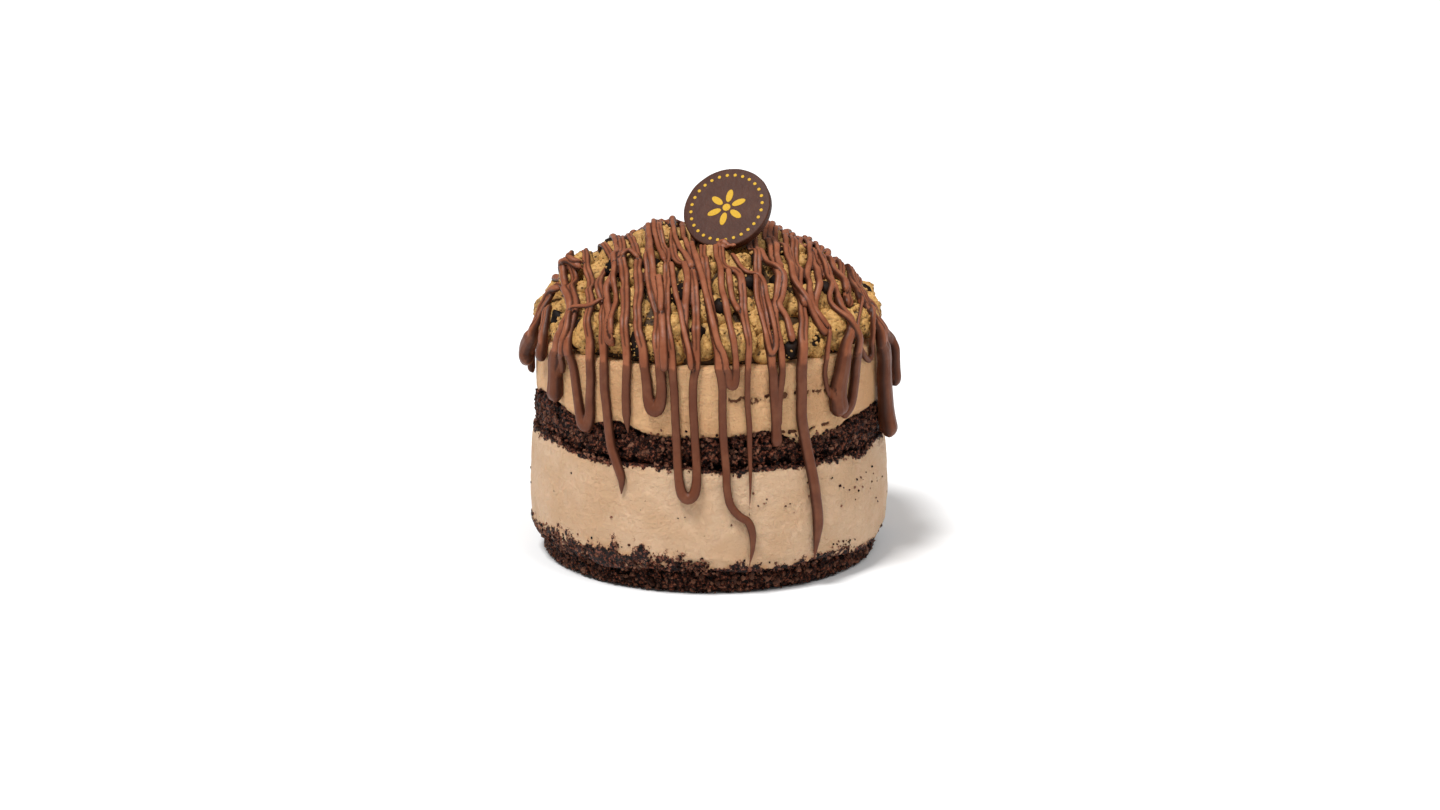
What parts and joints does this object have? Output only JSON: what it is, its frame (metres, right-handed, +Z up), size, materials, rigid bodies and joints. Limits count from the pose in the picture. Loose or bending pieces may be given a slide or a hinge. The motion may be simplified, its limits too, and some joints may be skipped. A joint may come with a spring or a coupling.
{
  "type": "mini chocolate hazelnut cake",
  "caption": "Small round layered ice-cream cake with a dough-chunk heap, chocolate drizzle and a chocolate disc; stands on its flat base.",
  "frame": {"origin": "centre of the flat underside of the cake", "axes": "+Z up out of the top, -Y out of the front that the medallion faces, +X to the right seen from the front"},
  "size_m": [0.133, 0.1318, 0.136],
  "materials": {
    "chocolate_crumb": "dark, dry, coarse chocolate cake crumb",
    "hazelnut_ice_cream": "pale brown ice cream, softly matt with fine ripples and small air pits",
    "dough_and_drizzle": "golden cookie dough chunks under satin milk chocolate drizzle",
    "moulded_chocolate": "smooth satin chocolate with a plain yellow print"
  },
  "bodies": {
    "root": {"base_cake": "chocolate_crumb", "lower_ice_cream": "hazelnut_ice_cream", "middle_cake": "chocolate_crumb", "upper_ice_cream": "hazelnut_ice_cream", "topping_heap": "dough_and_drizzle", "medallion": "moulded_chocolate"}
  },
  "joints": []
}
